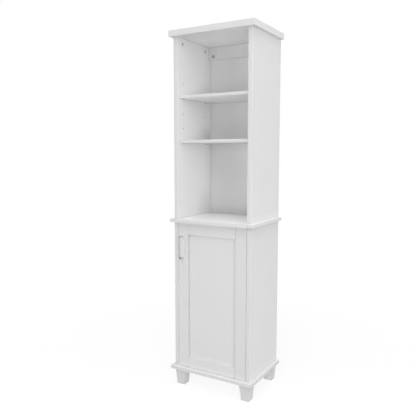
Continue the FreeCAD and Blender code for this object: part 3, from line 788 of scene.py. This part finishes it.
ZINC_CAST = {"Tarnished": 0.6, "Marks": (1300.0, 1300.0, 1300.0), "Mark_depth": 0.3, "Dull_low": 0.42,
             "Dull_high": 0.62}
FINISHES = {
    "white_lacquer": make_white_lacquer(),
    "door_lacquer": make_door_lacquer(),
    "white_backing": make_white_backing(),
    "satin_nickel": make_satin_nickel(),
    "pin_nickel": make_metal(
        "pin_nickel", Colour=(0.66, 0.66, 0.65, 1), Tarnish=(0.48, 0.48, 0.46, 1), Tarnished=0.5,
        Marks=(200.0, 3000.0, 3000.0), Mark_depth=0.08, Dull_low=0.25, Dull_high=0.42, Edge_shine=0.35),
    # One cast zinc, lighter for the side cams and darker for the rail cams: painted light and shade
    "cast_zinc": make_metal(
        "cast_zinc", Colour=grey(0.72), Tarnish=grey(0.52), Edge_shine=0.5, **ZINC_CAST),
    "dark_zinc": make_metal(
        "dark_zinc", Colour=grey(0.44), Tarnish=grey(0.28), Edge_shine=0.4, **ZINC_CAST),
    "bright_steel": make_metal(
        "bright_steel", Colour=(0.60, 0.60, 0.58, 1), Tarnish=(0.42, 0.40, 0.34, 1), Tarnished=0.5,
        Marks=(900.0, 900.0, 900.0), Mark_depth=0.12, Dull_low=0.25, Dull_high=0.45, Edge_shine=0.45),
    "beech_dowel": make_beech(),
    "white_nylon": make_coated(
        "white_nylon", 1.53, Colour=(0.96, 0.96, 0.95, 1), Arris=(0.96, 0.96, 0.95, 1), Clouding=0.03,
        Gloss_low=0.42, Gloss_high=0.55, Peel=0.12, Peel_scale=1900.0, Wear=0.5, Dust=0.0),
    "dark_magnet": make_coated(
        "dark_magnet", 1.6, Colour=(0.055, 0.055, 0.06, 1), Arris=grey(0.2), Clouding=0.6,
        Gloss_low=0.5, Gloss_high=0.75, Peel=0.3, Peel_scale=1500.0, Wear=0.6, Dust=0.15),
}

# Every solid takes the finish of its slot
for part in frame["record"]["subparts"]:
    solid = NODES[part["node"]].data
    solid.materials.clear()
    solid.materials.append(FINISHES[part["material_slot"]])


# Small hardware, turned and pressed in mesh code

def solids_of(node):
    """Centre and size of each separate solid of a node, in a steady order."""
    work = bmesh.new()
    work.from_mesh(NODES[node].data)
    bmesh.ops.remove_doubles(work, verts=work.verts, dist=0.001 * MM)
    left = set(work.verts)
    found = []
    while left:
        group = {left.pop()}
        border = list(group)
        while border:
            vert = border.pop()
            for link in vert.link_edges:
                other = link.other_vert(vert)
                if other in left:
                    left.remove(other)
                    group.add(other)
                    border.append(other)
        low = Vector([min(vert.co[axis] for vert in group) for axis in range(3)])
        high = Vector([max(vert.co[axis] for vert in group) for axis in range(3)])
        found.append(((low + high) / 2, high - low))
    work.free()
    return sorted(found, key=lambda item: [round(value, 5) for value in item[0]])


def ring(work, radius, height, count):
    step = 2 * math.pi / count
    return [work.verts.new((radius * math.cos(step * index), radius * math.sin(step * index), height))
            for index in range(count)]


def turn(work, profile, count):
    """Turn an open profile of radius and height round Z; returns its first and last rings."""
    rings = [ring(work, radius, height, count) for radius, height in profile]
    for near, far in zip(rings, rings[1:]):
        for index in range(count):
            after = (index + 1) % count
            face = work.faces.new((near[index], near[after], far[after], far[index]))
            face.smooth = True
    return rings[0], rings[-1]


def loop_edges(work, loop):
    pairs = zip(loop, loop[1:] + loop[:1])
    return [work.edges.get(pair) or work.edges.new(pair) for pair in pairs]


def fill_between(work, outer, inner):
    """Flat face between an outer and an inner loop."""
    edges = loop_edges(work, outer) + loop_edges(work, inner)
    bmesh.ops.triangle_fill(work, edges=edges, use_beauty=True, use_dissolve=False)


def socket(work, top, outline, floor_share, depth):
    """Sink a recess of a given outline below a height, tapering to its floor; returns its top loop."""
    upper = [work.verts.new((x, y, top)) for x, y in outline]
    lower = [work.verts.new((x * floor_share, y * floor_share, top - depth)) for x, y in outline]
    count = len(outline)
    for index in range(count):
        after = (index + 1) % count
        work.faces.new((upper[index], upper[after], lower[after], lower[index]))
    work.faces.new(lower)
    return upper


def turned_solid(work, profile, count, recess=None):
    """Turn a closed solid; its last ring is flat, or holds a recess of a given outline and depth."""
    foot, rim = turn(work, profile, count)
    work.faces.new(list(reversed(foot)))
    if recess:
        fill_between(work, rim, socket(work, 0, **recess))
    else:
        work.faces.new(rim)


def cross_outline(length, width):
    """Plus sign with a given arm length and half width."""
    corner = [(length, -width), (length, width), (width, width)]
    points = []
    for quarter in range(4):
        turned = Matrix.Rotation(quarter * math.pi / 2, 2)
        points += [tuple(turned @ Vector(point)) for point in corner]
    return points


def hexagon_outline(flat_radius):
    sixth = math.pi / 3
    reach = flat_radius / math.cos(sixth / 2)
    return [(reach * math.cos(sixth * index), reach * math.sin(sixth * index)) for index in range(6)]


def box_block(work, middle, size):
    """Add a plain block and return its vertices."""
    made = bmesh.ops.create_cube(work, size=1)["verts"]
    place = Matrix.Translation(middle) @ Matrix.Diagonal((*size, 1))
    bmesh.ops.transform(work, matrix=place, verts=made)
    return made


def round_edges(work, edges, radius, segments):
    bmesh.ops.bevel(work, geom=list(edges), offset=radius, segments=segments, affect="EDGES", profile=0.5)


def stand(name, data):
    """New object in the scene that holds a mesh, a lamp or a camera."""
    holder = bpy.data.objects.new(name, data)
    bpy.context.scene.collection.objects.link(holder)
    return holder


def hardware(name, places, shape, body, slot, finishes=None):
    """One piece made of the same shape set at several places, each a matrix in the frame."""
    mesh = bpy.data.meshes.new(name)
    work = bmesh.new()
    for place in places:
        before = set(work.verts)
        shape(work)
        fresh = [vert for vert in work.verts if vert not in before]
        bmesh.ops.transform(work, matrix=place, verts=fresh)
    bmesh.ops.recalc_face_normals(work, faces=work.faces)
    work.to_mesh(mesh)
    work.free()
    piece = stand(name, mesh)
    for material in finishes or [slot]:
        mesh.materials.append(FINISHES[material])
    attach(piece, body)
    return piece


def facing(point, direction):
    """Matrix that sets a shape's own +Z along a direction at a point."""
    turned = Vector((0, 0, 1)).rotation_difference(Vector(direction)).to_matrix().to_4x4()
    return Matrix.Translation(point) @ turned


def inward(point):
    return (-math.copysign(1, point.x), 0, 0)


def forward(point):
    return (0, -1, 0)


def backward(point):
    return (0, 1, 0)


def downward(point):
    return (0, 0, -1)


def ends(node, direction, proud=0):
    """Place at the end of each solid of a node that a direction points to, or a little beyond it."""
    places = []
    for centre, size in solids_of(node):
        way = Vector(direction(centre))
        half = abs(size.dot(way)) / 2
        places.append(facing(centre + way * (half + proud), way))
    return places


def disc_profile(radius, height, ease):
    """Side of a flat-topped disc from its foot to its eased rim, top at zero."""
    return [(radius, -height), (radius, -ease), (radius - 0.3 * ease, -0.3 * ease), (radius - ease, 0)]


# Cam locks: eased rim, turned groove and cross recess
CAM_RADIUS = 7.5 * MM
CAM_DEPTH = 12.5 * MM
CAM_EASE = 0.5 * MM
GROOVE_OUTER = 6.3 * MM
GROOVE_INNER = 5.3 * MM
GROOVE_SLOPE = 0.2 * MM
GROOVE_DEPTH = 0.35 * MM
CAM_CROSS = (4.2 * MM, 0.8 * MM)
CAM_CROSS_DEPTH = 2.4 * MM


def cam_lock(work):
    groove = [(GROOVE_OUTER, 0), (GROOVE_OUTER - GROOVE_SLOPE, -GROOVE_DEPTH),
              (GROOVE_INNER + GROOVE_SLOPE, -GROOVE_DEPTH), (GROOVE_INNER, 0)]
    cross = {"outline": cross_outline(*CAM_CROSS), "floor_share": 0.72, "depth": CAM_CROSS_DEPTH}
    turned_solid(work, disc_profile(CAM_RADIUS, CAM_DEPTH, CAM_EASE) + groove, 40, cross)


# The side cams take the lighter zinc and the rail cams the darker one, as painted light and shade
CAMS = {
    "cap_cams": (inward, "cast_zinc"),
    "counter_cams": (inward, "cast_zinc"),
    "rail_cams": (forward, "dark_zinc"),
}
for cams, (way, metal) in CAMS.items():
    piece = hardware(cams.replace("_cams", "_cam_locks"), ends(cams, way), cam_lock,
                     "carcass", "cast_zinc", [metal])
    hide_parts(cams)


# Shelves: thin boards with a rounded front edge, lying on their pins
SHELF_THICKNESS = 11 * MM
SHELF_ROUND = 1.5 * MM
SHELF_EASE = 0.4 * MM


def shelf_board(low, high):
    """Shape of a board between two corners: rounded along its front, eased on its other edges."""
    def shape(work):
        made = box_block(work, (low + high) / 2, high - low)
        edges = {edge for vert in made for edge in vert.link_edges}
        front = {edge for edge in edges if max(vert.co.y for vert in edge.verts) < (low.y + high.y) / 2
                 and abs(edge.verts[0].co.z - edge.verts[1].co.z) < SHELF_EASE}
        round_edges(work, edges - front, SHELF_EASE, 2)
        long = [edge for edge in work.edges if edge.calc_length() > 0.9 * (high.x - low.x)
                and max(vert.co.y for vert in edge.verts) < low.y + SHELF_EASE / 2]
        round_edges(work, long, SHELF_ROUND, 4)
    return shape


for shelf in ("upper_shelf", "middle_shelf", "cabinet_shelf"):
    low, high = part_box(shelf)
    top = Vector((high.x, high.y, low.z + SHELF_THICKNESS))
    piece = hardware(shelf + "_board", [Matrix.Identity(4)], shelf_board(low, top),
                     "carcass", "white_lacquer")
    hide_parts(shelf)


# Shelf pins: a round-nosed pin with a thin collar against the panel
PIN_RADIUS = 2.5 * MM
PIN_LENGTH = 18 * MM
PIN_OUT = 8.5 * MM
PIN_NOSE = 1.0 * MM
PIN_POINT = 0.6 * MM
COLLAR_RADIUS = 3.5 * MM
COLLAR_EASE = 0.1 * MM
COLLAR_HEIGHTS = (0.8 * MM, 0.7 * MM, 0.55 * MM, 0.02 * MM, 0.01 * MM)


def shelf_pin(work):
    nose = [(0.7 * PIN_RADIUS, 0), (0.92 * PIN_RADIUS, -0.35 * PIN_NOSE), (PIN_RADIUS, -PIN_NOSE)]
    radii = (PIN_RADIUS, COLLAR_RADIUS - COLLAR_EASE, COLLAR_RADIUS, COLLAR_RADIUS, PIN_RADIUS)
    collar = [(radius, height - PIN_OUT) for radius, height in zip(radii, COLLAR_HEIGHTS)]
    tail = [(PIN_RADIUS, PIN_POINT - PIN_LENGTH), (0.75 * PIN_RADIUS, -PIN_LENGTH)]
    turned_solid(work, nose + collar + tail, 28)


for pins in ("upper_shelf_pins", "middle_shelf_pins", "cabinet_shelf_pins"):
    piece = hardware(pins.replace("_pins", "_studs"), ends(pins, inward), shelf_pin,
                     "carcass", "pin_nickel")
    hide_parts(pins)


# Covers over the wall-fixing holes: low domes whose stems sit in the countersinks
COVER_RADIUS = 5.4 * MM
COVER_RISE = 1.6 * MM
COVER_ANGLES = (0.12, 0.35, 0.65, 0.95, 1.25, 1.45)
STEM_FOOT_RADIUS = 2.6 * MM
STEM_NECK_RADIUS = 2.7 * MM
STEM_LENGTH = 6 * MM
STEM_NECK = 2.2 * MM
RIM_LIFT = 0.02 * MM
WALL_HOLES = frame["record"]["mounts"][0]


def hole_cover(work):
    stem = [(STEM_FOOT_RADIUS, -STEM_LENGTH), (STEM_NECK_RADIUS, -STEM_NECK), (COVER_RADIUS, RIM_LIFT)]
    dome = [(COVER_RADIUS * math.cos(angle), COVER_RISE * math.sin(angle)) for angle in COVER_ANGLES]
    turned_solid(work, stem + dome, 32)


rail_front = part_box("hanging_rail")[0].y
half_spacing = WALL_HOLES["dims"]["spacing_x_mm"] / 2 * MM
hole_height = WALL_HOLES["pos_m"][2]
covers = [facing((x, rail_front, hole_height), (0, -1, 0)) for x in (-half_spacing, half_spacing)]
hardware("wall_hole_covers", covers, hole_cover, "carcass", "white_nylon")


# Screws: hexagon sockets under the base, crosses on the handle, the catch and the strike
SCREW_LENGTH = 51 * MM
SCREW_RADIUS = 3.4 * MM
SCREW_POINT = 4 * MM
SCREW_POINT_RADIUS = 0.6 * MM
SCREW_NECK = 5 * MM
SCREW_COLLAR = 4 * MM
SCREW_COLLAR_RADIUS = 4.8 * MM
SCREW_HEAD_RADIUS = 5 * MM
SCREW_HEAD_HEIGHT = 3.6 * MM
SCREW_HEAD_EASE = 0.4 * MM
HEXAGON_RADIUS = 2 * MM
HEXAGON_DEPTH = 2.4 * MM


def base_screw(work):
    shank = [(SCREW_POINT_RADIUS, -SCREW_LENGTH), (SCREW_RADIUS, SCREW_POINT - SCREW_LENGTH),
             (SCREW_RADIUS, -SCREW_NECK), (SCREW_COLLAR_RADIUS, -SCREW_COLLAR)]
    head = disc_profile(SCREW_HEAD_RADIUS, SCREW_HEAD_HEIGHT, SCREW_HEAD_EASE)
    recess = {"outline": hexagon_outline(HEXAGON_RADIUS), "floor_share": 0.96, "depth": HEXAGON_DEPTH}
    turned_solid(work, shank + head, 32, recess)


piece = hardware("base_hex_screws", ends("base_screws", downward), base_screw, "carcass", "bright_steel")
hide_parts("base_screws")


def pan_screw(head_radius, head_height, shank_radius, length, cross):
    """Shape of a pan-head screw, its head's top at zero and its shank below."""
    def shape(work):
        shank = [(0.4 * shank_radius, -length), (shank_radius, shank_radius - length),
                 (shank_radius, -head_height)]
        dome = [(head_radius, -head_height), (head_radius, -0.55 * head_height),
                (0.93 * head_radius, -0.25 * head_height), (0.8 * head_radius, -0.06 * head_height),
                (0.66 * head_radius, 0)]
        outline = cross_outline(cross, 0.24 * cross)
        recess = {"outline": outline, "floor_share": 0.6, "depth": 0.7 * head_height}
        turned_solid(work, shank + dome, 28, recess)
    return shape


# Each kind of screw: its piece, its body, the way its head looks, how proud it stands and its shape
SCREWS = {
    "handle_screws": ("handle_pan_screws", "door", backward, 0,
                      pan_screw(head_radius=3.4 * MM, head_height=2 * MM, shank_radius=1.5 * MM,
                                length=29.5 * MM, cross=1.8 * MM)),
    "catch_screws": ("catch_pan_screws", "carcass", downward, 0,
                     pan_screw(head_radius=3.2 * MM, head_height=2 * MM, shank_radius=1.6 * MM,
                               length=25 * MM, cross=1.7 * MM)),
    "strike_screw": ("strike_flat_screw", "door", backward, 0.1 * MM,
                     pan_screw(head_radius=2.7 * MM, head_height=0.5 * MM, shank_radius=1.6 * MM,
                               length=11 * MM, cross=1.5 * MM)),
}
for screws, (name, body, way, proud, shape) in SCREWS.items():
    piece = hardware(name, ends(screws, way, proud), shape, body, "bright_steel")
    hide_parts(screws)


# Catch magnet: a dark ferrite bar between two steel pole plates
POLE_PLATE = 1.1 * MM
POLE_PROUD = 0.25 * MM
POLE_EASE = 0.2 * MM


def pole_magnet(size):
    """Shape of the bar and its two plates, which stand a little proud of it in front."""
    def shape(work):
        outer = (size.z - POLE_PLATE) / 2
        layers = ((0, size.z - 2 * POLE_PLATE, POLE_PROUD), (outer, POLE_PLATE, 0), (-outer, POLE_PLATE, 0))
        for number, (middle, height, back) in enumerate(layers):
            made = box_block(work, (0, back / 2, middle), (size.x, size.y - back, height))
            edges = {edge for vert in made for edge in vert.link_edges}
            for face in {face for vert in made for face in vert.link_faces}:
                face.material_index = min(number, 1)
            round_edges(work, edges, POLE_EASE, 2)
    return shape


centre, size = solids_of("catch_magnet")[0]
magnet = hardware("catch_pole_magnet", [Matrix.Translation(centre)], pole_magnet(size),
                  "carcass", "dark_magnet", ["dark_magnet", "bright_steel"])
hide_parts("catch_magnet")


# Panel pins that hold the thin backs in their rabbets and to the hanging rail
NAIL_EDGE = 4 * MM
NAIL_END = 25 * MM
NAIL_LENGTH = 9 * MM
NAIL_RADIUS = 0.9 * MM
NAIL_NECK = 0.1 * MM
NAIL_HEAD_RADII = (1.9 * MM, 2.0 * MM, 1.6 * MM, NAIL_RADIUS)
NAIL_HEAD_HEIGHTS = (0, 0.2 * MM, 0.42 * MM, 0.52 * MM)
RAIL_NAIL_SHARE = 0.3


def panel_pin(work):
    shank = [(NAIL_RADIUS, -NAIL_LENGTH), (NAIL_RADIUS, -NAIL_NECK)]
    head = list(zip(NAIL_HEAD_RADII, NAIL_HEAD_HEIGHTS))
    turned_solid(work, shank + head, 20)


def nail_row(low, high, count):
    return [low + (high - low) * index / (count - 1) for index in range(count)]


nails = []
for panel, count in (("upper_back_panel", 6), ("lower_back_panel", 5)):
    low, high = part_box(panel)
    for z in nail_row(low.z + NAIL_END, high.z - NAIL_END, count):
        for x in (low.x + NAIL_EDGE, high.x - NAIL_EDGE):
            nails.append(facing((x, high.y, z), (0, 1, 0)))
low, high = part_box("hanging_rail")
for x in nail_row(RAIL_NAIL_SHARE * low.x, RAIL_NAIL_SHARE * high.x, 2):
    nails.append(facing((x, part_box("upper_back_panel")[1].y, (low.z + high.z) / 2), (0, 1, 0)))
hardware("back_panel_pins", nails, panel_pin, "carcass", "bright_steel")


# Floor, light and camera
FLOOR_SIZE = 60.0
FLOOR_TONE = 0.9
SEEN_TONE = 0.14
SHADE_REACH = (0.5, 1.6)
FLOOR_LIGHT = 0.84
ROOM_LIGHT = 0.3
LENS = 43.40
SENSOR = 36.0
CAMERA_PLACE = (1.0667, -1.9616, 1.0491)
CAMERA_PITCH = 0.10653
CAMERA_YAW = 0.53296
LAMP_AIM = Vector((0, 0, 0.9))
# Place, size in metres and power in watts of each lamp
LAMPS = {
    "low_softbox": ((-0.6, -3.2, 0.45), 1.2, 10.5),
    "right_softbox": ((3.8, -3.7, 1.35), 2.6, 65),
    "high_softbox": ((1.8, -4.5, 4.65), 2.7, 118),
    "top_softbox": ((0.45, -0.8, 5.2), 3.2, 97),
    "rear_softbox": ((2.6, 1.2, 2.6), 1.6, 1.6),
}


def white_to_the_eye(tree):
    """1 for rays from the camera, from gloss and through clear things, 0 for the rest."""
    path = add(tree, "LightPath").outputs
    seen = either(tree, path["Is Camera Ray"], path["Is Glossy Ray"])
    return either(tree, seen, path["Is Transmission Ray"])


def make_floor():
    mesh = bpy.data.meshes.new("floor")
    half = FLOOR_SIZE / 2
    corners = [(-half, -half, 0), (half, -half, 0), (half, half, 0), (-half, half, 0)]
    mesh.from_pydata(corners, [], [(0, 1, 2, 3)])
    floor = stand("floor", mesh)
    material, tree, inputs = finish("pale_floor", Roughness=0.9, Specular_IOR_Level=0.0,
                                    Emission_Color=(1, 1, 1, 1))
    seen = white_to_the_eye(tree)
    place = own_place(tree)
    away = add(tree, "VectorMath", {0: place}, operation="LENGTH").outputs["Value"]
    near = ramp(tree, away, *SHADE_REACH, SEEN_TONE, 0.0)
    shown = add(tree, "CombineColor", {"Red": near, "Green": near, "Blue": near}).outputs["Color"]
    feed(tree, inputs["Base Color"], blend_colour(tree, seen, grey(FLOOR_TONE), shown))
    glow = rest_of(tree, times(tree, near, FLOOR_LIGHT))
    feed(tree, inputs["Emission Strength"], times(tree, seen, glow))
    mesh.materials.append(material)


def make_room():
    world = bpy.data.worlds.new("white_room")
    world.use_nodes = True
    tree = world.node_tree
    background = tree.nodes["Background"]
    background.inputs["Color"].default_value = (1, 1, 1, 1)
    level = math_node(tree, "MULTIPLY_ADD", white_to_the_eye(tree), 1 - ROOM_LIGHT, ROOM_LIGHT)
    feed(tree, background.inputs["Strength"], level)
    bpy.context.scene.world = world


def softbox(name, place, size, power):
    lamp = bpy.data.lights.new(name, "AREA")
    lamp.shape = "SQUARE"
    lamp.size = size
    lamp.energy = power
    holder = stand(name, lamp)
    holder.location = place
    holder.rotation_euler = (LAMP_AIM - Vector(place)).to_track_quat("-Z", "Y").to_euler()


def make_camera():
    camera = bpy.data.cameras.new("camera")
    camera.sensor_width = SENSOR
    camera.lens = LENS
    holder = stand("camera", camera)
    holder.location = CAMERA_PLACE
    holder.rotation_euler = (math.pi / 2 - CAMERA_PITCH, 0, CAMERA_YAW)
    bpy.context.scene.camera = holder


make_floor()
make_room()
for name, (place, size, power) in LAMPS.items():
    softbox(name, place, size, power)
make_camera()
bpy.context.scene.view_settings.view_transform = "Standard"
